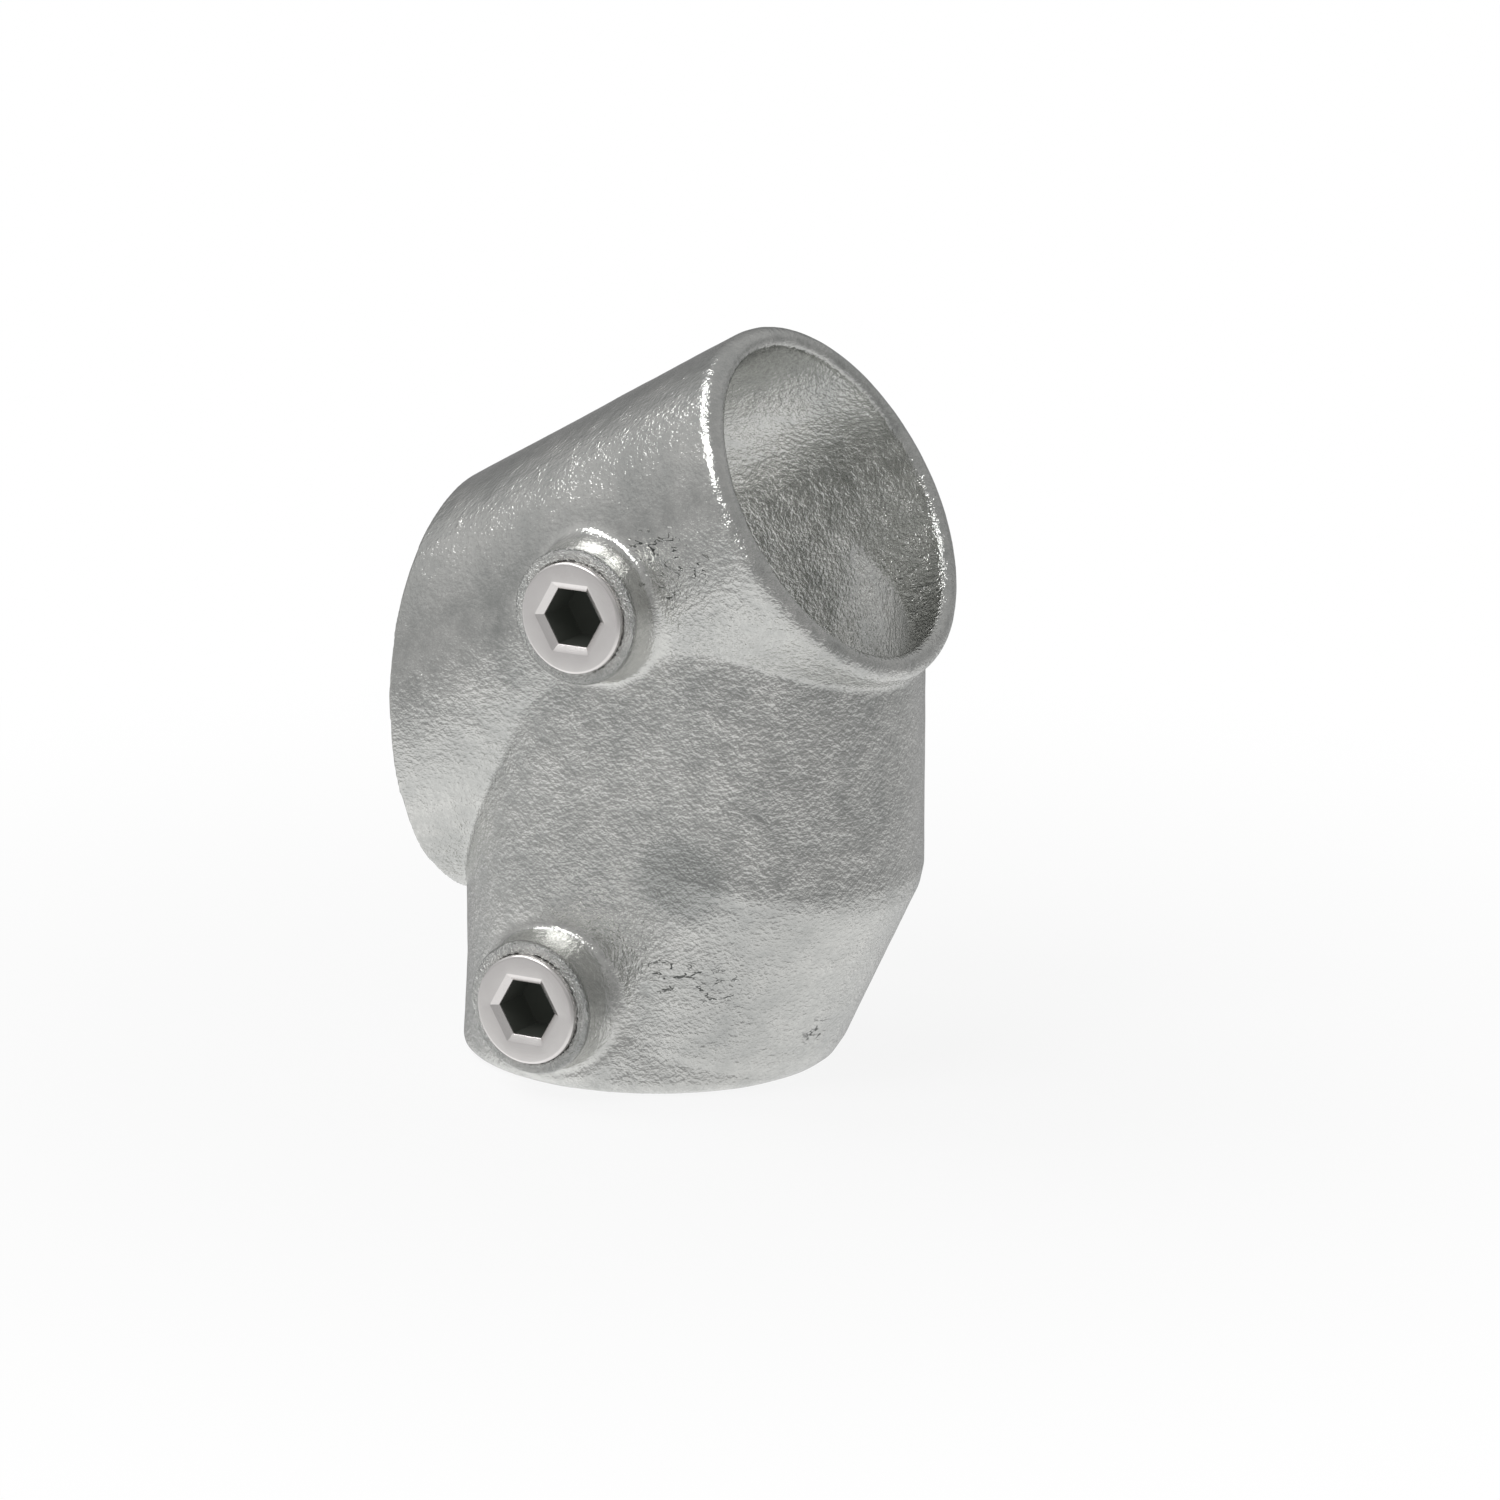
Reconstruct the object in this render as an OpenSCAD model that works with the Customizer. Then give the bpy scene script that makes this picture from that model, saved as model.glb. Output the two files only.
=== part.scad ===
// Angled tee fitting for round tube: a slanted sleeve for a through tube, a socket
// for an upright with room for it to swing, and a set screw in a boss for each.
// The origin is where the axes of the two tubes cross. Z runs up along the upright,
// X points to the raised end of the sleeve, and the set screws face the -Y side.

/* [Tubes] */
// Outer diameter of the tubes that the fitting joins
tube_d = 48.3; // [42:0.1:54]
// Gap between the through tube and the bore of the sleeve
sleeve_gap = 0.35; // [0.15:0.05:0.6]
// How much closer the socket's bore is to the upright in it
socket_closer = 0.05; // [0.03:0.01:0.1]

/* [Sleeve] */
// Rise of the sleeve from the horizontal, in degrees
sleeve_rise = 30; // [25:1:35]
// Wall of the sleeve
sleeve_wall = 4; // [3.9:0.1:6]
// How far the lowest point of the upper rim stands past the far side of the socket
rim_proud = 3.2; // [2.6:0.1:10]
// Rounding of the upper rim's outer edge
rim_round = 2.4; // [1:0.1:2.4]
// Rounding of the bore's edge at the upper rim
rim_ease = 1.5; // [0.3:0.1:1.6]
// How far the face that ends the sleeve below stands past the near side of the socket
low_end_proud = 1.1; // [0.8:0.1:8]
// Lean of that face from the upright, in degrees
low_end_lean = 2; // [0:0.1:3]

/* [Socket] */
// Wall of the socket in front of and behind the upright
near_wall = 3.3; // [2.8:0.1:3.4]
// Wall in front of and behind the far end of the room for a swung upright
far_wall = 2; // [1.8:0.1:2.6]
// How far the outside is set over from the bore, towards the far side
set_over = 1; // [0.5:0.1:1.4]
// From the crossing of the tubes down to the mouth
socket_reach = 69.3; // [66:0.1:80]
// How far the far end of the room stands off from the upright
swing_room = 17.2; // [14:0.1:18]
// Angle through which the upright can swing
swing_angle = 26.4; // [22:0.1:29]
// Height over the mouth of the point about which it swings
swing_height = 1.1; // [0:0.1:3]
// Radius of the knee where the far side turns in to the mouth
knee_radius = 14; // [4:1:20]
// Rounding of the mouth's outer edge
mouth_round = 2.2; // [1:0.1:2.4]
// How far the socket flares outwards at the mouth
mouth_flare = 0.2; // [0.1:0.1:0.6]
// How far the mouth's outside is set over from the bore
mouth_set_over = 0.4; // [0:0.1:1]
// Height over which the mouth flares
flare_height = 24; // [12:1:30]

/* [Bosses] */
// Radius of a boss at its face
boss_r = 10.3; // [9.6:0.1:11]
// Height of the boss faces over the front of the sleeve
boss_height = 5.3; // [4:0.1:8]
// How far over the front of the sleeve a boss begins to widen
boss_shoulder = 2.4; // [1:0.1:3]
// Depth over which it widens
boss_foot = 6; // [4:0.1:7]
// Radius of the hollow flank of that foot
boss_fillet = 9; // [8:0.1:12]
// Rounding of a boss's outer edge
boss_round = 0.8; // [0.3:0.1:1.2]
// Place of the sleeve's boss, along the sleeve from the crossing of the tubes
sleeve_boss_at = 9.9; // [2:0.1:20]
// How far the sleeve's boss stands above the sleeve's middle line
sleeve_boss_lift = 0.6; // [0:0.1:1]
// Place of the socket's boss, over the mouth
socket_boss_at = 14.2; // [13:0.1:19]

/* [Set screws] */
// Thread diameter of a set screw
screw_d = 16.66; // [14:0.01:17]
// Gap between a set screw and the wall of its hole
screw_gap = 0.05; // [0.02:0.01:0.1]
// Length of a set screw
screw_len = 10.3; // [8:0.1:10.4]
// How far a set screw stands out of its boss
screw_proud = 1; // [0.2:0.1:3]
// Rounding of a set screw's outer edge
screw_round = 0.5; // [0.2:0.1:0.8]
// Bevel round the point of a set screw
point_bevel = 1; // [0.5:0.1:1.5]
// Depth of the cup in the point
cup_depth = 0.9; // [0.4:0.1:1.2]
// Width of the hexagonal socket across its flats
hex_af = 8.2; // [6:0.1:9]
// Width of the socket across its flats at the face of the screw
hex_mouth = 10.4; // [9.2:0.1:11]
// Depth over which the socket narrows to its own width
hex_lead = 0.7; // [0.3:0.1:2]
// Depth of the hexagonal socket
hex_depth = 7.2; // [4:0.1:7.6]

/* [Hidden] */

bore_r = tube_d / 2 + sleeve_gap;
room_r = bore_r - socket_closer;
sleeve_r = bore_r + sleeve_wall;
near_r = room_r + near_wall;
far_r = room_r + far_wall;
mouth_r = near_r + mouth_flare;
// Distances of the socket's outside from the axis of the upright
near_side = near_r - set_over;
far_side = set_over + swing_room + far_r;
// From the crossing of the tubes to the upper rim, along the sleeve
rim_reach = (far_side + rim_proud - sleeve_r * sin(sleeve_rise)) / cos(sleeve_rise);
boss_face = sleeve_r + boss_height;
boss_widest = boss_r + boss_fillet - sqrt(pow(boss_fillet, 2) - pow(boss_foot, 2));
hole_r = screw_d / 2 + screw_gap;
screw_face = boss_face + screw_proud;
// Height over the mouth at which the leaning side's axis reaches the far end
knee_height = swing_height + swing_room / tan(swing_angle);
// How far the side that rounds the knee stands off from there
knee_shift = (far_r - knee_radius) * (1 / cos(swing_angle / 2) - 1);
// All that belongs to the socket ends this far up the sleeve, within its wall
socket_top = rim_reach - rim_round;
// Height over the mouth at which its rounded edge takes over from the walls above
mouth_joint = mouth_round / 2;
// How far the far half of the mouth stands off, so as to meet the leaning side there
mouth_stretch = set_over + (mouth_joint - swing_height) * tan(swing_angle)
    + far_r / cos(swing_angle) - mouth_r - mouth_set_over;
// Longer than the fitting any way, for cuts that go right through
reach = 200;
overlap = 0.01;
$fn = 96;

// Turns what stands along Z to run along the sleeve, with X pointing down and out
module along_sleeve() {
    rotate([0, 90 - sleeve_rise, 0]) children();
}

// Turns what stands along Z to face the front
module facing_front(x, z) {
    translate([x, 0, z]) rotate([90, 0, 0]) children();
}

module at_sleeve_boss() {
    facing_front(sleeve_boss_at * cos(sleeve_rise) - sleeve_boss_lift * sin(sleeve_rise),
                 sleeve_boss_at * sin(sleeve_rise) + sleeve_boss_lift * cos(sleeve_rise))
        children();
}

module at_socket_boss() {
    facing_front(0, socket_boss_at - socket_reach) children();
}

// Outside of the sleeve, a turned form with a rounded upper rim and a lower end cut off
// nearly in line with the upright
module sleeve_outside() {
    difference() {
        along_sleeve() rotate_extrude() union() {
            translate([0, -reach / 2]) square([sleeve_r, reach / 2 + rim_reach - rim_round]);
            square([sleeve_r - rim_round, rim_reach]);
            translate([sleeve_r - rim_round, rim_reach - rim_round]) circle(rim_round);
        }
        translate([-near_side - low_end_proud, 0, 0]) rotate([0, -low_end_lean, 0])
            translate([-reach, -reach / 2, -reach]) cube([reach, reach, 2 * reach]);
    }
}

// Bore of the sleeve, eased at the upper rim
module sleeve_bore() {
    along_sleeve() {
        translate([0, 0, -reach / 2]) cylinder(r = bore_r, h = reach);
        rotate_extrude() difference() {
            translate([0, rim_reach - rim_ease]) square([bore_r + rim_ease, 2 * rim_ease]);
            translate([bore_r + rim_ease, rim_reach - rim_ease]) circle(rim_ease);
        }
    }
}

// Plan of a round end and the two flats that touch it and run on to the left. The flats
// spread by the angle spread each, and stop at the length run.
module round_end(r, spread, run) {
    touch = r * [sin(spread), cos(spread)];
    far = touch + run * [-cos(spread), sin(spread)];
    union() {
        circle(r);
        polygon([touch, far, [far.x, -far.y], [touch.x, -touch.y]]);
    }
}

// The room that an upright sweeps, from upright to fully swung, ending at a depth below
// the crossing of the tubes. It has the radius near at the upright and far at the other
// end, and is cut off where it turns in at the knee and along the leaning side.
module swept_room(near, far, depth) {
    spread = asin((near - far) / swing_room);
    intersection() {
        translate([0, 0, -depth]) linear_extrude(reach) union() {
            circle(near);
            translate([swing_room, 0]) round_end(far, spread, swing_room * cos(spread));
        }
        translate([0, 0, swing_height - socket_reach]) rotate([0, swing_angle, 0])
            linear_extrude(2 * reach, center = true) round_end(far, spread, reach);
        translate([swing_room, 0, knee_height - socket_reach]) rotate([0, swing_angle / 2, 0])
            translate([knee_shift, 0, 0])
                linear_extrude(2 * reach, center = true) round_end(far, spread, reach);
        along_sleeve() translate([0, -reach / 2, -reach]) cube([reach, reach, reach + socket_top]);
    }
}

// Half section of the mouth: a flared wall with a rounded lower edge
module mouth_section() {
    union() {
        polygon([[0, 0], [mouth_r - mouth_round, 0], [mouth_r, mouth_round],
                 [near_side, flare_height], [0, flare_height]]);
        translate([mouth_r - mouth_round, mouth_round]) circle(mouth_round);
    }
}

module mouth_outside() {
    translate([mouth_set_over, 0, -socket_reach]) {
        for (x = [0, mouth_stretch]) translate([x, 0, 0]) rotate_extrude() mouth_section();
        rotate([90, 0, 90]) linear_extrude(mouth_stretch) union() {
            mouth_section();
            mirror([1, 0]) mouth_section();
        }
    }
}

module socket_outside() {
    translate([set_over, 0, 0]) swept_room(near_r, far_r, socket_reach - mouth_joint);
    mouth_outside();
}

// A boss that stands along Z from the middle of a bore, with a hollow, widening foot
module boss() {
    foot_top = sleeve_r + boss_shoulder;
    rotate_extrude() union() {
        square([boss_r, boss_face - boss_round]);
        square([boss_r - boss_round, boss_face]);
        translate([boss_r - boss_round, boss_face - boss_round]) circle(boss_round);
        difference() {
            square([boss_widest, foot_top]);
            translate([boss_r + boss_fillet, foot_top]) circle(boss_fillet);
        }
    }
}

module screw_hole() {
    cylinder(r = hole_r, h = reach);
}

module casting() color("darkgray") {
    difference() {
        union() {
            sleeve_outside();
            socket_outside();
            at_sleeve_boss() boss();
            at_socket_boss() boss();
        }
        sleeve_bore();
        swept_room(room_r, room_r, socket_reach + 1);
        at_sleeve_boss() screw_hole();
        at_socket_boss() screw_hole();
    }
}

// Tapered hexagonal form, from width a across the flats at its foot to width b
module hex_taper(a, b, h) {
    intersection_for(turn = [0, 60, 120])
        rotate([0, 0, turn]) rotate([90, 0, 90]) linear_extrude(reach, center = true)
            polygon([[-a / 2, 0], [a / 2, 0], [b / 2, h], [-b / 2, h]]);
}

// Set screw with its point at z = 0 and its face at z = screw_len
module set_screw() {
    r = screw_d / 2;
    difference() {
        rotate_extrude() difference() {
            union() {
                polygon([[0, 0], [r - point_bevel, 0], [r, point_bevel],
                         [r, screw_len - screw_round], [0, screw_len - screw_round]]);
                square([r - screw_round, screw_len]);
                translate([r - screw_round, screw_len - screw_round]) circle(screw_round);
            }
            polygon([[0, -overlap], [r - point_bevel * 1.6, -overlap], [0, cup_depth]]);
        }
        translate([0, 0, screw_len - hex_depth])
            cylinder(d = hex_af / cos(30), h = hex_depth + 1, $fn = 6);
        translate([0, 0, screw_len - hex_lead]) hex_taper(hex_af, hex_mouth, hex_lead + overlap);
    }
}

module sleeve_set_screw() color("lightgray") {
    at_sleeve_boss() translate([0, 0, screw_face - screw_len]) set_screw();
}

module socket_set_screw() color("lightgray") {
    at_socket_boss() translate([0, 0, screw_face - screw_len]) set_screw();
}

casting();
sleeve_set_screw();
socket_set_screw();
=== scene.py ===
# %% [markdown]
# A tee fitting for round tube, cast in iron and dipped in molten zinc. It has a slanted
# sleeve, a socket that hangs straight down from it, and a set screw in a boss for each.
# The CAD frame already holds its true sizes, so this lesson is about its skin: the soft
# edges of a casting, the thread and key socket of the screws, and the look of zinc.

# %% Load the frame
import math

import bmesh
import bpy
import numpy as np
from mathutils import Matrix, Vector, noise


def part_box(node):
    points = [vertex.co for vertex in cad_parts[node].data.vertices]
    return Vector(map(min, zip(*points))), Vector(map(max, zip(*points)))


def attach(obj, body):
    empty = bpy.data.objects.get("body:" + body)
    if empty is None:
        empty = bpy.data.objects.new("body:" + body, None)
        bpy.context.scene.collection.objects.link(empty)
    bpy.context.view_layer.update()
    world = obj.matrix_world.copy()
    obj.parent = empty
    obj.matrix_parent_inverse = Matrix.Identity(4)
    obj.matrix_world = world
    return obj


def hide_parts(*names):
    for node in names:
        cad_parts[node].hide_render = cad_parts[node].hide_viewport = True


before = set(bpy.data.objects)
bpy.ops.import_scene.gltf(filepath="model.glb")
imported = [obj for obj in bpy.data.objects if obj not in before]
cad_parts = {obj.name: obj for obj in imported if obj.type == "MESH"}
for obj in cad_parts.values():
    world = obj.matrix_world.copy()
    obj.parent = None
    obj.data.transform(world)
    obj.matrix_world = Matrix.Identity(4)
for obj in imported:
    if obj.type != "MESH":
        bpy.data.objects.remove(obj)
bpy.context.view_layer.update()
MM = 0.001
print("CAD nodes:", sorted(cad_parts))

# %% [markdown]
# The camera comes first. It looks from the side of the screws, turned 30 degrees to the
# sleeve's raised end and 15 degrees down. It stands a little over a metre away and has a
# long lens, as a product photographer would choose, which keeps parallel edges nearly
# parallel.

# %% Place the camera
CAMERA_AT = (0.5652, -0.9506, 0.2701)
VIEW_TURN = math.radians(29.906)
VIEW_DROP = math.radians(14.86)
LENS_LENGTH = 182.42
SENSOR_WIDTH = 36

camera_data = bpy.data.cameras.new("view")
camera_data.lens = LENS_LENGTH
camera_data.sensor_width = SENSOR_WIDTH
camera_data.clip_end = 20
camera = bpy.data.objects.new("view", camera_data)
camera.location = CAMERA_AT
camera.rotation_euler = (math.pi / 2 - VIEW_DROP, 0, VIEW_TURN)
bpy.context.scene.collection.objects.link(camera)
bpy.context.scene.camera = camera
print("camera at", tuple(round(v, 3) for v in camera.location))

# %% [markdown]
# Most of the pieces below are made in the same moves: a bmesh is filled by operators,
# written to a mesh, and shown as an object with one or two finishes, and then modifiers
# may work on it. Two helpers do the later moves. The object always stays at the origin.

# %% Helpers that show a bmesh as a piece
def show(bm, name, *finishes):
    mesh = bpy.data.meshes.new(name)
    bm.to_mesh(mesh)
    bm.free()
    for finish in finishes:
        mesh.materials.append(finish)
    piece = bpy.data.objects.new(name, mesh)
    bpy.context.scene.collection.objects.link(piece)
    return piece


def with_modifiers(piece):
    """Makes the piece's modifiers part of its mesh."""
    graph = bpy.context.evaluated_depsgraph_get()
    finished = bpy.data.meshes.new_from_object(piece.evaluated_get(graph))
    piece.modifiers.clear()
    piece.data = finished
    return piece


# %% [markdown]
# A shader is easier to read as sums than as a net of nodes. A Wire stands for one socket
# of a shader, and adding, subtracting or multiplying wires adds the Math nodes.

# %% A wire that can be added up
class Wire:
    def __init__(self, paint, socket):
        self.paint, self.socket = paint, socket

    def math(self, operation, a, b):
        return self.paint.node("ShaderNodeMath", {"operation": operation}, {0: a, 1: b})

    def __add__(self, other):
        return self.math("ADD", self, other)

    def __sub__(self, other):
        return self.math("SUBTRACT", self, other)

    def __rsub__(self, other):
        return self.math("SUBTRACT", other, self)

    def __mul__(self, other):
        return self.math("MULTIPLY", self, other)

    __radd__ = __add__
    __rmul__ = __mul__


# %% [markdown]
# Any other node comes from one method of a Paint, which takes the node's settings first
# and then its inputs. The short methods below it are the nodes that the finishes use most.
# Patterns are placed in millimetres, so their sizes can be compared with the fitting's.

# %% A paint that makes nodes
def set_stops(ramp, stops):
    while len(ramp) < len(stops):
        ramp.new(0.5)
    for stop, (place, shade) in zip(ramp, stops):
        stop.position = place
        stop.color = (shade, shade, shade, 1)


class Paint:
    def __init__(self, owner):
        self.owner = owner
        owner.use_nodes = True
        self.tree = owner.node_tree
        self.tree.nodes.clear()

    def node(self, kind, settings=None, inputs=None, output=0):
        made = self.tree.nodes.new(kind)
        for key, value in (settings or {}).items():
            if key == "stops":
                set_stops(made.color_ramp.elements, value)
            else:
                setattr(made, key, value)
        for key, value in (inputs or {}).items():
            socket = made.inputs[key]
            if isinstance(value, Wire):
                self.tree.links.new(value.socket, socket)
            else:
                socket.default_value = value
        return None if output is None else Wire(self, made.outputs[output])

    def vector(self, operation, a, b, output="Value"):
        return self.node("ShaderNodeVectorMath", {"operation": operation}, {0: a, 1: b}, output=output)

    def least(self, a, b):
        return self.node("ShaderNodeMath", {"operation": "MINIMUM"}, {0: a, 1: b})

    def place(self, stretch=(1, 1, 1)):
        """Object coordinates in millimetres, for a pattern that is stretched along the axes."""
        at = self.node("ShaderNodeTexCoord", output="Object")
        return self.node("ShaderNodeMapping", {"vector_type": "TEXTURE"},
                         {"Vector": at, "Scale": tuple(MM * s for s in stretch)})

    def noise(self, scale, detail=2.0, roughness=0.5):
        return self.node("ShaderNodeTexNoise", {}, {
            "Vector": self.place(), "Scale": scale, "Detail": detail, "Roughness": roughness})

    def fade(self, value, start, end):
        """1 up to start, falling smoothly to 0 at end."""
        return self.node("ShaderNodeMapRange", {"interpolation_type": "SMOOTHSTEP"},
                         {"Value": value, 1: start, 2: end, 3: 1.0, 4: 0.0})

    def ray(self, kind):
        """1 for one kind of light ray, such as what the camera sees directly."""
        return self.node("ShaderNodeLightPath", output="Is " + kind + " Ray")

    def ramp(self, factor, stops):
        return self.node("ShaderNodeValToRGB", {"stops": stops}, {"Fac": factor})

    def mix(self, factor, a, b):
        return self.node("ShaderNodeMix", {"data_type": "RGBA"}, {0: factor, 6: a, 7: b}, output=2)

    def blend(self, factor, a, b):
        return self.node("ShaderNodeMixShader", {}, {0: factor, 1: a, 2: b})

    def bump(self, height, distance, strength=1.0):
        return self.node("ShaderNodeBump", {}, {
            "Strength": strength, "Distance": distance, "Height": height})

    def finish(self, **sockets):
        named = {key.replace("_", " "): value for key, value in sockets.items()}
        return self.close(self.node("ShaderNodeBsdfPrincipled", {}, named))

    def close(self, shader, kind="ShaderNodeOutputMaterial"):
        self.node(kind, {}, {"Surface": shader}, output=None)
        return self.owner


# %% [markdown]
# The casting doesn't look the same all over: its bosses, their feet, its folds and a stain
# each differ. Each such place is a mask, which is 1 there and fades to 0 past its edge. A
# mask could be painted by hand on an image, but a distance from a point, an axis or a
# plane needs no image and stays sharp. Distances are in millimetres from the origin.

# %% Masks for places on the casting
class CastingPaint(Paint):
    def near(self, point, reach, soft):
        """A ball round a point."""
        away = self.vector("DISTANCE", self.place(), point)
        return self.fade(away, reach - soft, reach + soft)

    def near_axes(self, axes, reach, soft):
        """A cylinder round the axis of each screw."""
        flat = self.vector("MULTIPLY", self.place(), (1, 0, 1), output="Vector")
        ways = [self.vector("DISTANCE", flat, (x / MM, 0, z / MM)) for x, z in axes]
        return sum(self.fade(away, reach - soft, reach + soft) for away in ways)

    def front(self, depth, soft):
        """All that lies in front of a depth."""
        y = self.node("ShaderNodeSeparateXYZ", {}, {0: self.place()}, output="Y")
        return self.fade(y, depth + soft, depth + 2 * soft)

    def along(self, way, start, end):
        """All up to a plane that stands square to a direction."""
        return self.fade(self.vector("DOT_PRODUCT", self.place(), way), start, end)


# %% [markdown]
# Here and there a casting has a fold, where two streams of iron met too cold to join and
# left a thin wandering crack that the zinc doesn't fill. The edges between Voronoi cells
# are such lines once a noise has pushed them about. They are kept near a few chosen
# places only, and a second noise breaks them up.

# %% The folds in the casting
# Each spot is a point on the casting and how far the folds reach round it.
FOLD_SPOTS = [(18.5, -25.4, -49.4, 3.0), (22.8, -24.0, -49.8, 3.2), (26.0, -22.2, -51.0, 3.0),
              (33.5, -6.2, -60.6, 2.2), (17.0, -28.0, 16.0, 2.4), (21.0, -28.2, 15.8, 2.6),
              (25.0, -28.3, 14.4, 2.8), (19.6, -28.6, 9.6, 2.4)]
SPOT_SOFT = 1.2
FOLD_STRETCH, FOLD_DRIFT = (2.2, 2.2, 0.9), 2.2
FOLD_CELLS, FOLD_BENDS, FOLD_BREAKS = 0.55, 0.9, 0.8
FOLD_LINE = (0.025, 0.06)


def casting_folds(paint):
    at = paint.place(stretch=FOLD_STRETCH)
    drift = paint.node("ShaderNodeTexNoise", {}, {
        "Vector": at, "Scale": FOLD_BENDS, "Detail": 2.0}, output="Color")
    moved = paint.node("ShaderNodeVectorMath", {"operation": "MULTIPLY_ADD"},
                       {0: drift, 1: (FOLD_DRIFT, FOLD_DRIFT, FOLD_DRIFT), 2: at})
    edge = paint.node("ShaderNodeTexVoronoi", {"feature": "DISTANCE_TO_EDGE"},
                      {"Vector": moved, "Scale": FOLD_CELLS}, output="Distance")
    broken = paint.ramp(paint.noise(FOLD_BREAKS, detail=1.0), [(0.50, 0.0), (0.53, 1.0)])
    spots = sum(paint.near((x, y, z), reach, SPOT_SOFT) for x, y, z, reach in FOLD_SPOTS)
    return paint.least(paint.fade(edge, *FOLD_LINE) * spots * broken, 1.0)


print("folds at", len(FOLD_SPOTS), "places")

# %% [markdown]
# Hot-dip zinc on a sand casting isn't polished and isn't painted either. The sand leaves a
# grain of short ridges, and the zinc runs over it and softens it, most of all on the upper
# side of the sleeve and round the feet of the bosses. Slow clouds and patches make the
# zinc paler and darker, and one old stain is darker still. The feet of the bosses are
# painted a little paler too, as painted light for what their hollows catch. The faces of
# the bosses have a coarser grain. All this is one sum of heights for the bump and one sum
# for the tone.

# %% The finish of the casting
CLOUDS, PATCHES, GRAIN, COARSE_GRAIN = 0.07, 0.3, 1.55, 2.2
GRAIN_HEIGHT = 0.42 * MM
SLEEVE_UP = (-0.5, 0, 0.866)
STAIN_AT, STAIN_REACH = (21.7, -26.2, -34.3), 4.5
FACE_REACH, FOOT_REACH = 10.2, 13.0
SCREW_SIDE = -20 * MM
DARK_ZINC, PALE_ZINC = (0.50, 0.51, 0.495, 1), (0.73, 0.73, 0.705, 1)
BARE_FOLD = (0.10, 0.105, 0.10, 1)


def galvanised_iron(axes, boss_face):
    paint = CastingPaint(bpy.data.materials.new("galvanised iron"))
    cloud = paint.noise(CLOUDS, detail=3, roughness=0.55)
    patch = paint.noise(PATCHES, detail=4, roughness=0.6)
    grain = paint.noise(GRAIN, detail=2, roughness=0.6)
    coarse = paint.noise(COARSE_GRAIN, detail=2, roughness=0.6)
    face = paint.near_axes(axes, FACE_REACH, 0.3) * paint.front(boss_face / MM, 0.5)
    foot = paint.near_axes(axes, FOOT_REACH, 1.5) * paint.front(SCREW_SIDE / MM, 0.5) * (1.0 - face)
    folds = casting_folds(paint)
    stain = paint.near(STAIN_AT, STAIN_REACH, STAIN_REACH) * patch

    sand = (0.40 + paint.along(SLEEVE_UP, -3, 10) * 0.34) * (1.0 - foot * 0.4)
    height = grain * (patch * 2.4 - 0.3) * sand + face * coarse * 2.0 - folds * 0.9
    # The foot term is painted light: it makes the feet of the bosses paler.
    tone = cloud * 0.45 + patch * 0.4 + grain * 0.15 - stain * 1.1 - face * 0.08 + foot * 0.10
    zinc = paint.mix(paint.ramp(tone, [(0.33, 0.0), (0.64, 1.0)]), DARK_ZINC, PALE_ZINC)
    colour = paint.mix(paint.least(folds * 0.9 + stain * 0.3, 0.9), zinc, BARE_FOLD)
    return paint.finish(Base_Color=colour, Metallic=0.92, Normal=paint.bump(height, GRAIN_HEIGHT),
                        Roughness=0.09 + patch * 0.06 + face * 0.10)


def screw_axis(node):
    low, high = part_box(node)
    return (low.x + high.x) / 2, (low.z + high.z) / 2


AXES = [screw_axis("sleeve_set_screw"), screw_axis("socket_set_screw")]
BOSS_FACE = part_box("casting")[0].y
galvanised = galvanised_iron(AXES, BOSS_FACE)
print("finish:", galvanised.name)

# %% [markdown]
# The screws are turned from bar and thinly plated, so they are smooth and a little warmer
# than the zinc around them. Little light gets to the bottom of the broached key socket, so
# its inside is painted near black as painted shade, with a very faint painted glow that
# keeps it from going quite black.

# %% The finishes of the screws
DULL_PLATE, BRIGHT_PLATE = (0.86, 0.83, 0.815, 1), (0.94, 0.91, 0.895, 1)
PLATE_HAZE, TURNING_MARKS = 0.5, 9.0
# Painted shade for the deep key socket, and a faint painted glow in it.
SOCKET_SHADE_DARK, SOCKET_SHADE_PALE = (0.040, 0.044, 0.037, 1), (0.055, 0.060, 0.051, 1)
SOCKET_SHADE_HAZE = 1.2
PAINTED_GLOW, PAINTED_GLOW_STRENGTH = (0.9, 1.0, 0.85, 1), 0.007


def plated_steel():
    paint = Paint(bpy.data.materials.new("plated steel"))
    haze = paint.noise(PLATE_HAZE, detail=3)
    bump = paint.bump(paint.noise(TURNING_MARKS, detail=1), 0.05 * MM, strength=0.08)
    return paint.finish(Base_Color=paint.mix(haze, DULL_PLATE, BRIGHT_PLATE), Metallic=0.85,
                        Roughness=0.19 + haze * 0.06, Normal=bump)


# The inside of the key socket: near-black painted shade with a faint painted glow.
def painted_shade_socket():
    paint = Paint(bpy.data.materials.new("key socket painted shade"))
    haze = paint.noise(SOCKET_SHADE_HAZE, detail=3)
    return paint.finish(Base_Color=paint.mix(haze, SOCKET_SHADE_DARK, SOCKET_SHADE_PALE), Metallic=0.0,
                        Roughness=0.8 + haze * 0.1, Emission_Color=PAINTED_GLOW,
                        Emission_Strength=PAINTED_GLOW_STRENGTH)


plated = plated_steel()
socket_shade_finish = painted_shade_socket()
print("finishes:", plated.name, "and", socket_shade_finish.name)

# %% [markdown]
# The casting's solid has exact, sharp creases. A real casting has none: sand and zinc
# round them all a little. Bevels would have to be found crease by crease, so a copy of the
# mesh is merged and wrapped again in a net of even small faces instead. That softens every
# edge by about its own pitch and gives the surface enough points to be uneven.

# %% Wrap the casting in an even skin
SKIN_PITCH = 0.42 * MM
TOUCHING = 1e-6

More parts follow.
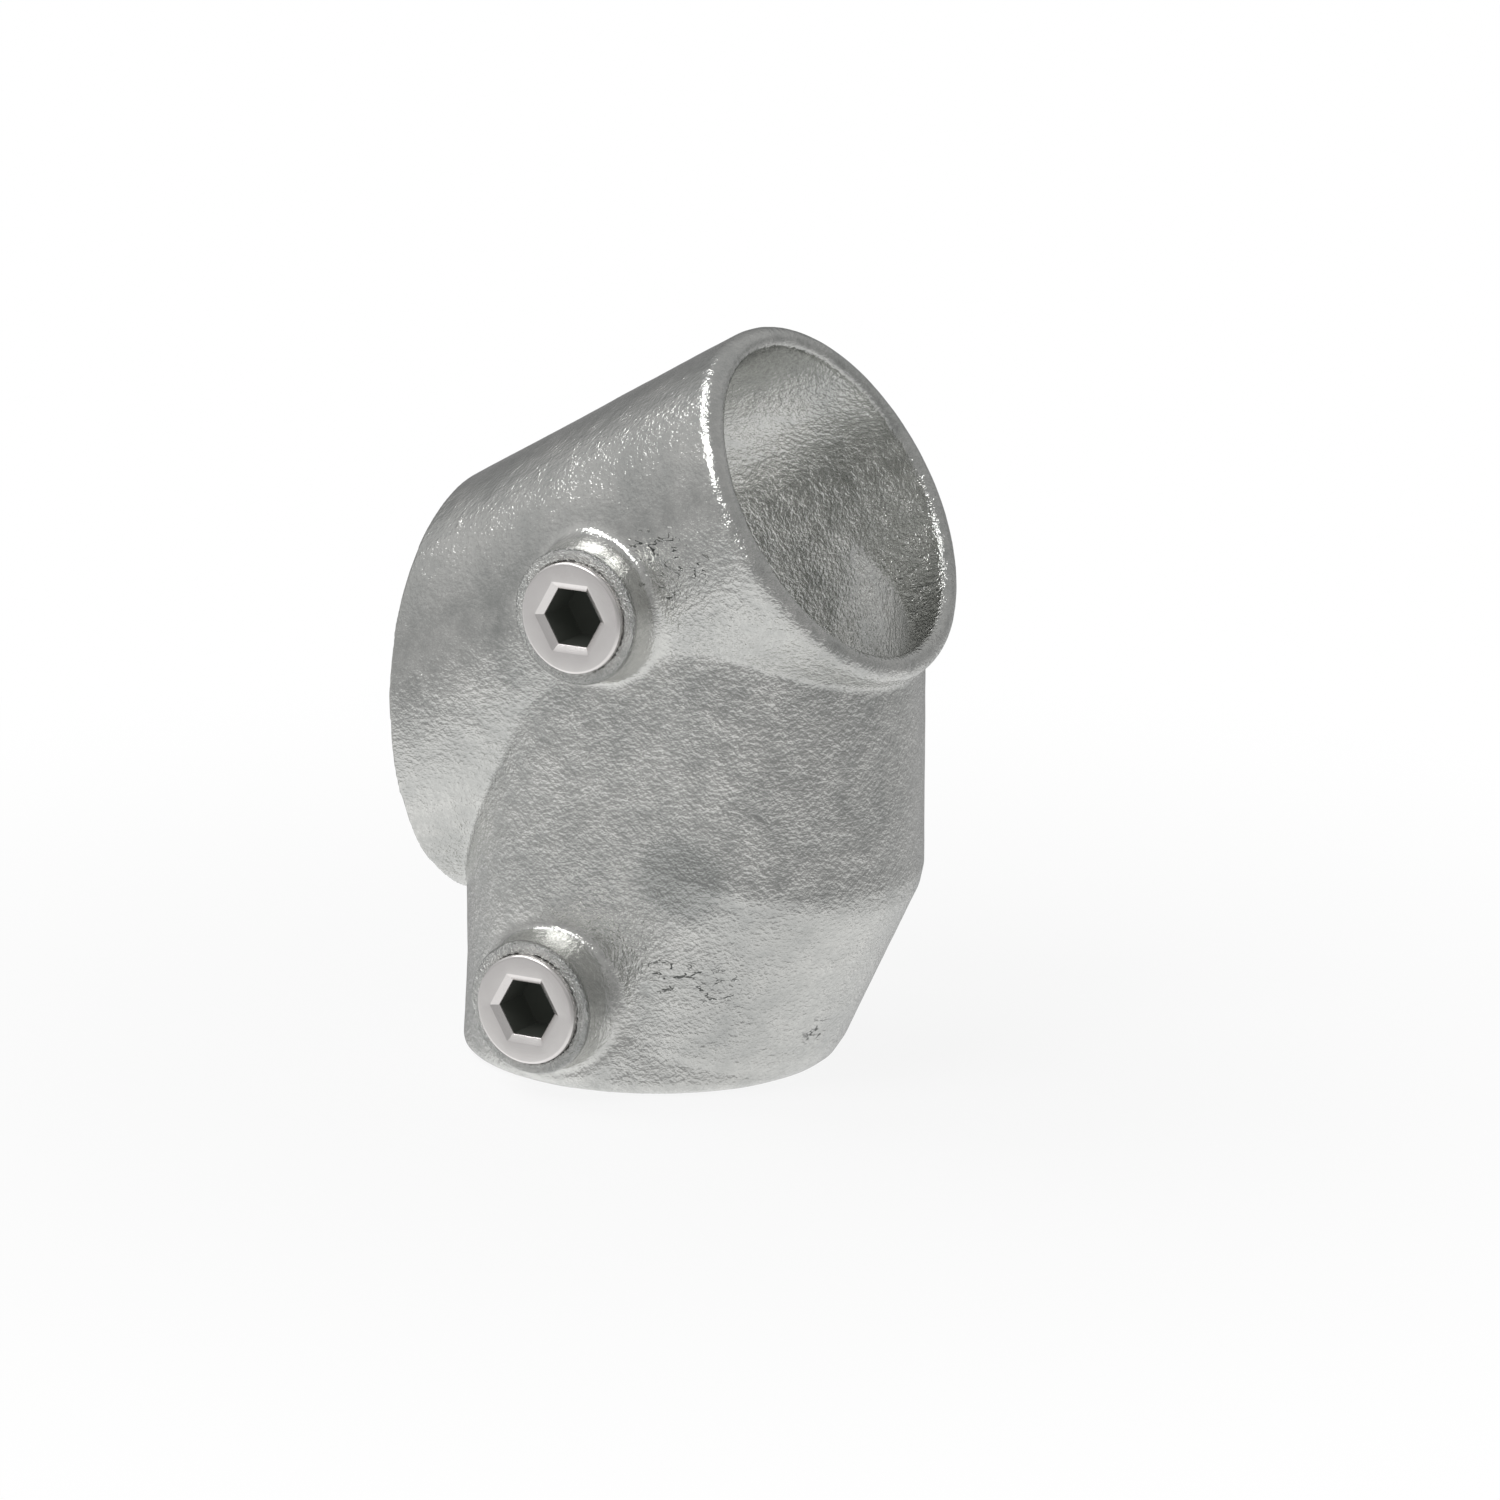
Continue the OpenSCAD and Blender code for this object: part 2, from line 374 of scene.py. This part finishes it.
bm = bmesh.new()
bm.from_mesh(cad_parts["casting"].data)
bmesh.ops.remove_doubles(bm, verts=bm.verts, dist=TOUCHING)
casting = show(bm, "cast_body", galvanised)
wrap = casting.modifiers.new("skin", "REMESH")
wrap.mode = "VOXEL"
wrap.voxel_size = SKIN_PITCH
wrap.use_smooth_shade = True
with_modifiers(casting)
casting.data.materials.clear()
casting.data.materials.append(galvanised)
print("skin:", len(casting.data.polygons), "faces")

# %% [markdown]
# The steps that follow move many thousand points at once, so the points are handled as one
# table of numbers. These helpers read and write that table, measure how far each point is
# from a screw's axis, and fade an effect in or out over a width.

# %% Helpers for all points at once
def vectors(mesh, what):
    flat = np.empty(len(mesh.vertices) * 3)
    mesh.vertices.foreach_get(what, flat)
    return flat.reshape(-1, 3)


def move_points(mesh, co):
    mesh.vertices.foreach_set("co", co.ravel())
    mesh.update()


def from_axis(co, axis):
    return np.hypot(co[:, 0] - axis[0], co[:, 2] - axis[1])


def rise(values, start, over):
    """0 up to the start, and 1 from a width past it on."""
    return np.clip((values - start) / over, 0, 1)


def fall(values, end, over):
    """1 up to a width before the end, and 0 from the end on."""
    return np.clip((end - values) / over, 0, 1)


print("points to shape:", len(casting.data.vertices))

# %% [markdown]
# The wrap leaves faint steps, and the foot of a boss still meets the body at an angle. Both
# are smoothed by drawing each point to the middle of its neighbours: a few times
# everywhere, and many times round the feet, where the moulder's fillets are. The inner
# wall behind the feet faces backwards, and is left as it is by that sign.

# %% Smooth the skin
FOOT_IN, FOOT_OUT = 10.5, 16.5
FACES_BACK = 0.3
EVEN_ROUNDS, FOOT_ROUNDS = 3, 14

co = vectors(casting.data, "co")
outside = vectors(casting.data, "normal")[:, 1] < FACES_BACK
foot = np.zeros(len(co))
for axis in AXES:
    out = from_axis(co, axis) / MM
    ring = rise(out, FOOT_IN, 0.6) * fall(out, FOOT_OUT, 3)
    foot = np.maximum(foot, ring * (co[:, 1] < SCREW_SIDE) * outside)
group = casting.vertex_groups.new(name="feet")
for i in np.nonzero(foot > 0.01)[0]:
    group.add([int(i)], float(foot[i]), "REPLACE")
everywhere = casting.modifiers.new("even", "SMOOTH")
everywhere.factor, everywhere.iterations = 0.5, EVEN_ROUNDS
feet = casting.modifiers.new("feet", "SMOOTH")
feet.factor, feet.iterations, feet.vertex_group = 0.5, FOOT_ROUNDS, "feet"
with_modifiers(casting)
print("smoothed", int((foot > 0.01).sum()), "points round the feet")

# %% [markdown]
# Then the skin is made uneven, by a tenth of a millimetre over the width of a finger and
# less over a few millimetres. A bump in the material would shade it too, but only moved
# points bend the outline. They only ever move into the metal, so that the fitting stays
# within its true size and nothing that it holds gets tighter.

# %% Make the skin uneven
MEAN_DEPTH, SLOW_DEPTH, QUICK_DEPTH = 0.10, 0.08, 0.03
SLOW_WAVES, QUICK_WAVES = 0.09, 0.35
QUICK_START = Vector((7, 3, 1))

co = vectors(casting.data, "co")
depth = np.empty(len(co))
for i, p in enumerate(co):
    at = Vector(p) / MM
    slow = noise.noise(at * SLOW_WAVES)
    quick = noise.noise(at * QUICK_WAVES + QUICK_START)
    depth[i] = MEAN_DEPTH + SLOW_DEPTH * slow + QUICK_DEPTH * quick
co -= vectors(casting.data, "normal") * np.clip(depth, 0, 1)[:, None] * MM
move_points(casting.data, co)
print("unevenness from", round(depth.min(), 3), "to", round(depth.max(), 3), "mm inwards")

# %% [markdown]
# The socket's mouth isn't quite straight. Over its last few millimetres the outside runs in
# a little towards the lip, all round but on the left, and starts lower on the right. Each
# point is drawn towards the socket's axis by its depth below that start. The bore is held,
# and so is the boss of the screw.

# %% Lean the mouth in
LEAN_START, LOWER_ON_RIGHT = -61.5, 4.0
LEAN_SLOPE = 0.17
RIGHT_UP_TO, LEFT_FROM, TURN_SOFT = 58, 140, 30
BORE_SIDE, WALL = 25, 3.3
BOSS_HELD, HELD_SOFT = 12.6, 2

co = vectors(casting.data, "co")
out = np.hypot(co[:, 0], co[:, 1]) / MM
turn = np.abs(np.degrees(np.arctan2(co[:, 1], co[:, 0])))
start = LEAN_START - LOWER_ON_RIGHT * fall(turn, RIGHT_UP_TO, TURN_SOFT)
lean = LEAN_SLOPE * np.clip(start - co[:, 2] / MM, 0, None)
lean *= rise(out, BORE_SIDE, WALL) * fall(turn, LEFT_FROM, TURN_SOFT)
lean *= np.where(co[:, 1] < 0, rise(from_axis(co, AXES[1]) / MM, BOSS_HELD, HELD_SOFT), 1)
co[:, :2] *= (1 - lean / np.maximum(out, 1))[:, None]
move_points(casting.data, co)
print("the mouth leans in by up to", round(lean.max(), 2), "mm")

# %% [markdown]
# So fine a skin has far more faces than it needs on its plain parts. Collapsing the edges
# that matter least keeps them where the surface turns, and the bosses keep all of theirs.

# %% Thin the skin
FACES_KEPT = 185000
BOSS_REACH, BOSS_BACK = 13 * MM, -26 * MM

co = vectors(casting.data, "co")
boss = np.zeros(len(co), bool)
for axis in AXES:
    boss |= (from_axis(co, axis) < BOSS_REACH) & (co[:, 1] < BOSS_BACK)
group = casting.vertex_groups.new(name="plain")
group.add(np.nonzero(~boss)[0].tolist(), 1.0, "REPLACE")
thin = casting.modifiers.new("thin", "DECIMATE")
thin.ratio = FACES_KEPT / sum(len(face.vertices) - 2 for face in casting.data.polygons)
thin.vertex_group = "plain"
with_modifiers(casting)
print("thinned to", len(casting.data.polygons), "faces")

# %% [markdown]
# The wrap has rounded the mouths of the two threaded holes, where the zinc in fact closes up
# to the screws, and it has left the bosses' edges a little ragged. So the points there are
# drawn to the round outline that a boss has: its flank, its rounded edge, its face, and the
# edge of its hole. Each point is measured by how far out it is from the screw's axis and
# how far behind the boss's face.

# %% True the bosses
HOLE_R = 8.36 * MM
BOSS_R = 10.24 * MM
EDGE_R = 0.8 * MM
FACE_DEPTH = 0.08 * MM
RIM_IN, RIM_OUT, RIM_DEPTH, RIM_SOFT = 1.6 * MM, 0.9 * MM, 2.6 * MM, 0.8 * MM
MOUTH_REACH, CORNER_REACH = 0.8 * MM, 0.45 * MM
HOLE_BACK = -22 * MM


def true_boss(co, x, z):
    dx, dz = co[:, 0] - x, co[:, 2] - z
    out = np.hypot(dx, dz)
    behind = co[:, 1] - BOSS_FACE
    new_out, new_behind = out.copy(), behind.copy()

    rim = (out > BOSS_R - RIM_IN) & (out < BOSS_R + RIM_OUT) & (behind < RIM_DEPTH)
    beyond, before = out - (BOSS_R - EDGE_R), (FACE_DEPTH + EDGE_R) - behind
    reach = EDGE_R / np.maximum(np.hypot(beyond, before), 1e-9)
    arc = rim & (beyond > 0) & (before > 0)
    flank = rim & (beyond > 0) & (before <= 0)
    flat = rim & (beyond <= 0) & (before > 0)
    new_out[arc] = (BOSS_R - EDGE_R + beyond * reach)[arc]
    new_behind[arc] = (FACE_DEPTH + EDGE_R - before * reach)[arc]
    new_out[flank] = BOSS_R
    new_behind[flat] = FACE_DEPTH
    new_out = out + (new_out - out) * fall(behind, RIM_DEPTH, RIM_SOFT)

    mouth = (out < HOLE_R + MOUTH_REACH) & (behind < MOUTH_REACH)
    face = mouth & (out - HOLE_R > behind - 0.1 * MM)
    bore = (out < HOLE_R + 0.2 * MM) & (out > HOLE_R - MM) & (co[:, 1] < HOLE_BACK)
    wall = (mouth & ~face) | bore
    corner = mouth & (out - HOLE_R + behind < CORNER_REACH)
    new_out[wall | corner] = HOLE_R
    new_behind[face | corner] = FACE_DEPTH

    k = new_out / out
    co[:, 0], co[:, 1], co[:, 2] = x + dx * k, BOSS_FACE + new_behind, z + dz * k
    return int((rim | mouth | wall).sum())


co = vectors(casting.data, "co")
for x, z in AXES:
    moved = true_boss(co, x, z)
    print("boss at", round(x / MM, 2), round(z / MM, 2), "trued", moved, "points")
move_points(casting.data, co)
casting.data.shade_smooth()
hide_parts("casting")
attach(casting, "fitting")

# %% [markdown]
# A set screw is a short rod, threaded from its cup point nearly to its face. The thread is
# a pipe thread of 19 turns to the inch. One turn of its profile is drawn as a line and
# spun, rising as it turns, which is how a lathe cuts it. The thread starts two turns low
# and runs one too far, so that both of its ragged ends can be cut off square.

# %% Cut a thread
PITCH = 25.4 / 19 * MM
STEPS = 64
TURNS_LOW, TURNS_OVER = 2, 1
AXIS = {"cent": (0, 0, 0), "axis": (0, 0, 1)}


def threaded_rod(crest, root, length):
    bm = bmesh.new()
    profile = [(root, 0.0), (root + 0.1 * MM, 0.1), (crest, 0.44), (crest, 0.56),
               (root + 0.1 * MM, 0.9), (root, 1.0)]
    line = [bm.verts.new((r, 0, share * PITCH - TURNS_LOW * PITCH)) for r, share in profile]
    edges = [bm.edges.new(pair) for pair in zip(line, line[1:])]
    turns = math.ceil(length / PITCH) + TURNS_LOW + TURNS_OVER
    bmesh.ops.spin(bm, geom=line + edges, **AXIS, angle=2 * math.pi * turns,
                   dvec=(0, 0, PITCH / STEPS), steps=STEPS * turns, use_merge=False)
    bmesh.ops.remove_doubles(bm, verts=bm.verts, dist=TOUCHING)
    for level, top in ((-0.5 * MM, False), (length, True)):
        bmesh.ops.bisect_plane(bm, geom=bm.verts[:] + bm.edges[:] + bm.faces[:],
                               plane_co=(0, 0, level), plane_no=(0, 0, 1),
                               clear_outer=top, clear_inner=not top)
    bmesh.ops.holes_fill(bm, edges=[e for e in bm.edges if e.is_boundary], sides=0)
    bmesh.ops.triangulate(bm, faces=[f for f in bm.faces if len(f.verts) > 4])
    bmesh.ops.recalc_face_normals(bm, faces=bm.faces)
    return bm


print("pitch", round(PITCH / MM, 3), "mm")

# %% [markdown]
# The rest of the screw needs two more kinds of block: one turned from half its section, and
# a six-sided one, which is a cone of six segments and may be wider at one end. One piece
# is cut by another with a Boolean modifier. Its Manifold solver is the quick one, and a
# closed mesh stays closed in it.

# %% Turned and six-sided blocks, and cutting
def turned(profile, steps=96):
    """Stands on Z; its profile starts and ends on the axis."""
    bm = bmesh.new()
    line = [bm.verts.new((r, 0, z)) for r, z in profile]
    edges = [bm.edges.new(pair) for pair in zip(line, line[1:])]
    bmesh.ops.spin(bm, geom=line + edges, **AXIS, angle=2 * math.pi, steps=steps, use_merge=True)
    bmesh.ops.remove_doubles(bm, verts=bm.verts, dist=0.1 * TOUCHING)
    bmesh.ops.recalc_face_normals(bm, faces=bm.faces)
    return bm


def six_sided(across_low, across_high, low, high):
    """Stands on Z, with two corners on the X axis; its widths are across the flats."""
    bm = bmesh.new()
    corner = 1 / math.cos(math.pi / 6) / 2
    bmesh.ops.create_cone(bm, cap_ends=True, segments=6, radius1=across_low * corner,
                          radius2=across_high * corner, depth=high - low)
    bmesh.ops.rotate(bm, verts=bm.verts, cent=(0, 0, 0), matrix=Matrix.Rotation(math.pi / 6, 3, "Z"))
    bmesh.ops.translate(bm, verts=bm.verts, vec=(0, 0, (low + high) / 2))
    return bm


def cut(piece, tool, operation):
    step = piece.modifiers.new(operation, "BOOLEAN")
    step.operation, step.solver, step.object = operation, "MANIFOLD", tool
    with_modifiers(piece)
    bpy.data.objects.remove(tool)
    return piece


# %% [markdown]
# The screw is made as in a workshop. A threaded rod gets a plain head, and is cut down to a
# blank: a turned shape with a rounded face edge and a bevelled cup point, from which the
# six-sided key socket and its bevelled mouth have been taken out.

# %% Make a screw
THREAD_DEPTH = 0.86 * MM
LAND = 1.6 * MM
FACE_EASE, EASE_STEPS = 0.5 * MM, 5
CUP_DEPTH, CUP_BEVEL, CUP_IN = 0.9 * MM, 1.0 * MM, 1.6 * MM
KEY_ACROSS, KEY_DEPTH = 8.2 * MM, 7.2 * MM
MOUTH_ACROSS, MOUTH_DEPTH, MOUTH_OVER = 11.34 * MM, 0.7 * MM, 0.3 * MM
SPARE = 0.05 * MM


def screw_blank(radius, length):
    centre_r, centre_z = radius - FACE_EASE, length - FACE_EASE
    angles = [math.radians(90 - 90 / EASE_STEPS * i) for i in range(EASE_STEPS + 1)]
    edge = [(centre_r + FACE_EASE * math.sin(a), centre_z + FACE_EASE * math.cos(a)) for a in angles]
    point = [(0, CUP_DEPTH), (radius - CUP_IN, 0), (radius - CUP_BEVEL, 0),
             (radius + SPARE, CUP_BEVEL + SPARE)]
    side = [(radius + SPARE, length - LAND - 0.1 * MM), (radius, length - LAND)]
    blank = show(turned(point + side + edge + [(0, length)]), "blank")
    broach = six_sided(KEY_ACROSS, KEY_ACROSS, length - KEY_DEPTH, length + MM)
    cut(blank, show(broach, "broach"), "DIFFERENCE")
    mouth = six_sided(KEY_ACROSS, MOUTH_ACROSS, length - MOUTH_DEPTH, length + MOUTH_OVER)
    return cut(blank, show(mouth, "mouth"), "DIFFERENCE")


def screw_body(name, radius, length):
    land, wide = length - LAND, radius + 0.2 * MM
    rod = show(threaded_rod(radius, radius - THREAD_DEPTH, land + 0.3 * MM), name, plated)
    head = turned([(0, land), (wide, land), (wide, length + MM), (0, length + MM)])
    cut(rod, show(head, "head"), "UNION")
    return cut(rod, screw_blank(radius, length), "INTERSECT")


print("key socket", round(KEY_ACROSS / MM, 1), "mm across its flats")

# %% [markdown]
# A broached socket has no razor edges, so the two rings of edges round its mouth get small
# bevels. Each ring is found between two depths below the face, and by how sharp it is.
# Then the wall of the socket is parted at a depth below the face, and what lies deeper
# gets the painted shade of the deep socket.

# %% Ease the key socket and paint shade in it
MOUTH_EDGES = ((0.8, 0.6, 0.17 * MM), (0.1, -0.1, 0.06 * MM))
MOUTH_R, SOCKET_R = 6.6 * MM, 4.9 * MM
# Where the painted shade inside the key socket starts and ends.
SOCKET_SHADE_DEPTH, SOCKET_SHADE_END = 0.95 * MM, 2.9 * MM
SHARP = math.radians(20)


def ease_key_socket(bm, length):
    for deepest, highest, width in MOUTH_EDGES:
        edges = [e for e in bm.edges if len(e.link_faces) == 2 and e.calc_face_angle() > SHARP
                 and all(deepest * MM > length - v.co.z > highest * MM for v in e.verts)
                 and max(v.co.xy.length for v in e.verts) < MOUTH_R]
        bmesh.ops.bevel(bm, geom=edges, offset=width, segments=3, profile=0.5,
                        affect="EDGES", material=-1)


# Parts the socket's wall and gives its deep part the painted shade finish.
def paint_key_socket_shade(bm, length):
    bmesh.ops.bisect_plane(bm, geom=bm.verts[:] + bm.edges[:] + bm.faces[:],
                           plane_co=(0, 0, length - SOCKET_SHADE_DEPTH), plane_no=(0, 0, 1))
    for face in bm.faces:
        middle = face.calc_center_median()
        inside = middle.xy.length < SOCKET_R and SOCKET_SHADE_END < middle.z < length - SOCKET_SHADE_DEPTH
        face.material_index = 1 if inside else 0


# The depth printed below is where the painted shade in the socket starts.
print("grime from", round(SOCKET_SHADE_DEPTH / MM, 2), "mm below the face")

# %% [markdown]
# Both screws are the same, so one function makes them where the frame has them, face to the
# front. The shading is smooth over the rounded edges and stays flat on the faces that a
# tool has cut.

# %% Set the screws in their bosses
FLAT_FROM = math.radians(18.6)


def set_screw(name, node):
    low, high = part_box(node)
    length = high.y - low.y
    rod = screw_body(name, (high.x - low.x) / 2, length)
    bm = bmesh.new()
    bm.from_mesh(rod.data)
    bmesh.ops.remove_doubles(bm, verts=bm.verts, dist=2 * TOUCHING)
    ease_key_socket(bm, length)
    paint_key_socket_shade(bm, length)
    x, z = screw_axis(node)
    bm.transform(Matrix.Translation((x, high.y, z)) @ Matrix.Rotation(math.pi / 2, 4, "X"))
    rod.data.materials.clear()
    rod.data.materials.append(plated)
    # The second finish is the painted shade inside the key socket.
    rod.data.materials.append(socket_shade_finish)
    bm.to_mesh(rod.data)
    bm.free()
    rod.data.shade_smooth()
    rod.data.set_sharp_from_angle(angle=FLAT_FROM)
    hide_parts(node)
    print(name, len(rod.data.polygons), "faces")
    return rod


for name, node, body in (("sleeve_screw_visual", "sleeve_set_screw", "sleeve_screw"),
                         ("socket_screw_visual", "socket_set_screw", "socket_screw")):
    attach(set_screw(name, node), body)

# %% [markdown]
# The fitting stands on the rim of its mouth on a plain pale floor. To the camera the floor
# is white, with a small share of matt near the fitting that carries its soft shadow. The
# zinc doesn't mirror it: it sees through to the room's own pale lower half, whose shades
# are chosen below, because a real studio's floor isn't evenly lit either.

# %% Floor
FLOOR_SIZE = 4
SHADOW_NEAR, SHADOW_FAR = 50, 240
SHADOW_SHARE = 0.12


def pale_floor():
    paint = Paint(bpy.data.materials.new("pale floor"))
    matt = paint.node("ShaderNodeBsdfDiffuse", {}, {"Color": (0.8, 0.8, 0.8, 1)})
    white = paint.node("ShaderNodeEmission", {}, {"Color": (1, 1, 1, 1), "Strength": 1.0})
    flat = paint.vector("MULTIPLY", paint.place(), (1, 1, 0), output="Vector")
    away = paint.vector("DISTANCE", flat, (0, 0, 0))
    shade = paint.fade(away, SHADOW_NEAR, SHADOW_FAR) * SHADOW_SHARE
    seen = paint.blend(paint.ray("Camera") * (1.0 - shade), matt, white)
    clear = paint.node("ShaderNodeBsdfTransparent", {}, {})
    return paint.close(paint.blend(paint.ray("Glossy") + paint.ray("Transmission"), seen, clear))


bm = bmesh.new()
bmesh.ops.create_grid(bm, x_segments=1, y_segments=1, size=FLOOR_SIZE)
bmesh.ops.translate(bm, verts=bm.verts, vec=(0, 0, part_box("casting")[0].z))
floor = show(bm, "floor", pale_floor())

# %% [markdown]
# Zinc shows what is around it, so its highlights are pictures of the windows. One window
# is in front and high up, and one on the left. Between them they give the bright line
# along the sleeve's rim and the glints round the bosses. Both are round area lamps, which
# leave soft edges.

# %% Windows
LAMPS_AIM = Vector((0.01, 0, -0.01))


def soft_lamp(name, compass, height, away, size, power):
    """Faces the fitting from a compass direction and a height, in degrees."""
    data = bpy.data.lights.new(name, "AREA")
    data.shape, data.size, data.energy = "DISK", size, power
    lamp = bpy.data.objects.new(name, data)
    a, e = math.radians(compass), math.radians(height)
    way = Vector((math.cos(a) * math.cos(e), math.sin(a) * math.cos(e), math.sin(e)))
    lamp.location = way * away + LAMPS_AIM
    lamp.rotation_euler = way.to_track_quat("Z", "Y").to_euler()
    bpy.context.scene.collection.objects.link(lamp)


soft_lamp("front window", -106, 55, away=1.0, size=0.54, power=2.6)
soft_lamp("left window", -175, 54, away=1.0, size=0.44, power=2.0)

# %% [markdown]
# The rest of the light comes from the room, which is drawn straight into the world's
# background: pale below, darkest a little above eye level, and a middle grey overhead. It
# is also dimmer towards the right, and in a corner behind the fitting on the left, which
# gives the metal something darker to mirror. The camera sees plain white in its place.

# %% Room
# Each pair is a height, from -1 straight down to 1 straight up, and how bright it is there.
WALLS = [(-1.0, 0.83), (-0.82, 0.95), (-0.62, 0.88), (-0.50, 0.75), (-0.36, 0.57),
         (-0.26, 0.465), (-0.07, 0.41), (0.12, 0.325), (0.28, 0.39), (0.36, 0.44),
         (0.44, 0.50), (0.60, 0.46), (1.0, 0.41)]
DIM_SIDE = (0.215, -0.046, 0)
CORNER_WAY, CORNER_EDGE, CORNER_SHADE = (-0.565, 0.807, 0.174), 0.70, 0.55


def studio_walls():
    paint = Paint(bpy.data.worlds.new("studio"))
    way = paint.node("ShaderNodeTexCoord", output="Generated")
    height = paint.vector("DOT_PRODUCT", way, (0, 0, 0.5)) + 0.5
    level = paint.ramp(height, [(z / 2 + 0.5, shade) for z, shade in WALLS])
    side = 1.0 - paint.vector("DOT_PRODUCT", way, DIM_SIDE)
    open_room = paint.fade(paint.vector("DOT_PRODUCT", way, CORNER_WAY), CORNER_EDGE, 1.0)
    corner = CORNER_SHADE + open_room * (1 - CORNER_SHADE)
    walls = paint.node("ShaderNodeRGBToBW", {}, {0: level}) * side * corner
    camera_ray = paint.ray("Camera")
    strength = walls * (1.0 - camera_ray) + camera_ray
    light = paint.node("ShaderNodeBackground", {}, {"Color": (1, 1, 1, 1), "Strength": strength})
    return paint.close(light, "ShaderNodeOutputWorld")


bpy.context.scene.world = studio_walls()
bpy.context.scene.view_settings.view_transform = "Standard"
print("room:", bpy.context.scene.world.name)
